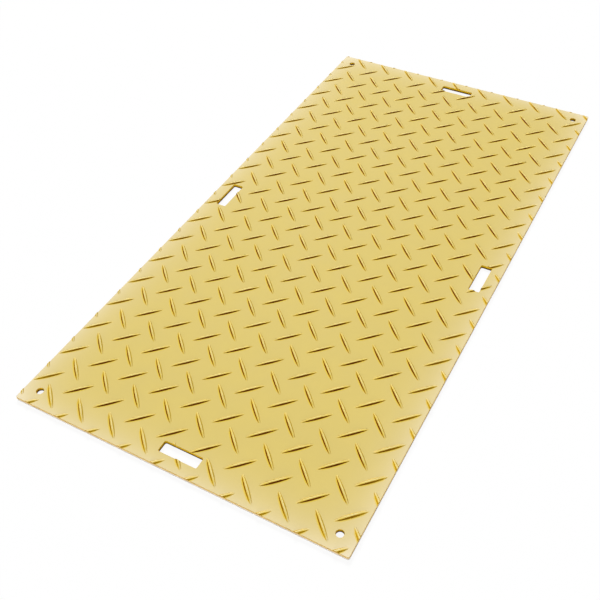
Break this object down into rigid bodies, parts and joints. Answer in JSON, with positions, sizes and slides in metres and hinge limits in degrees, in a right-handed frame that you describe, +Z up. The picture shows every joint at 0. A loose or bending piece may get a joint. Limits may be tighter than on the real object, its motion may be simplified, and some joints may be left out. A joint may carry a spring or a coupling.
{
  "type": "ground protection mat",
  "caption": "Flat rectangular ground protection mat of moulded plastic, with a raised herringbone tread on top, hand slots through its sides and peg holes through its corners.",
  "frame": {"origin": "middle of the flat underside", "axes": "+Z up out of the treaded face, +Y along the long sides, +X across; the short side at -Y faces the camera of the picture"},
  "size_m": [0.91, 1.82, 0.0135],
  "materials": {
    "yellow_polyethylene": "moulded, low sheen"
  },
  "bodies": {
    "root": {"mat_sheet": "yellow_polyethylene"}
  },
  "joints": []
}
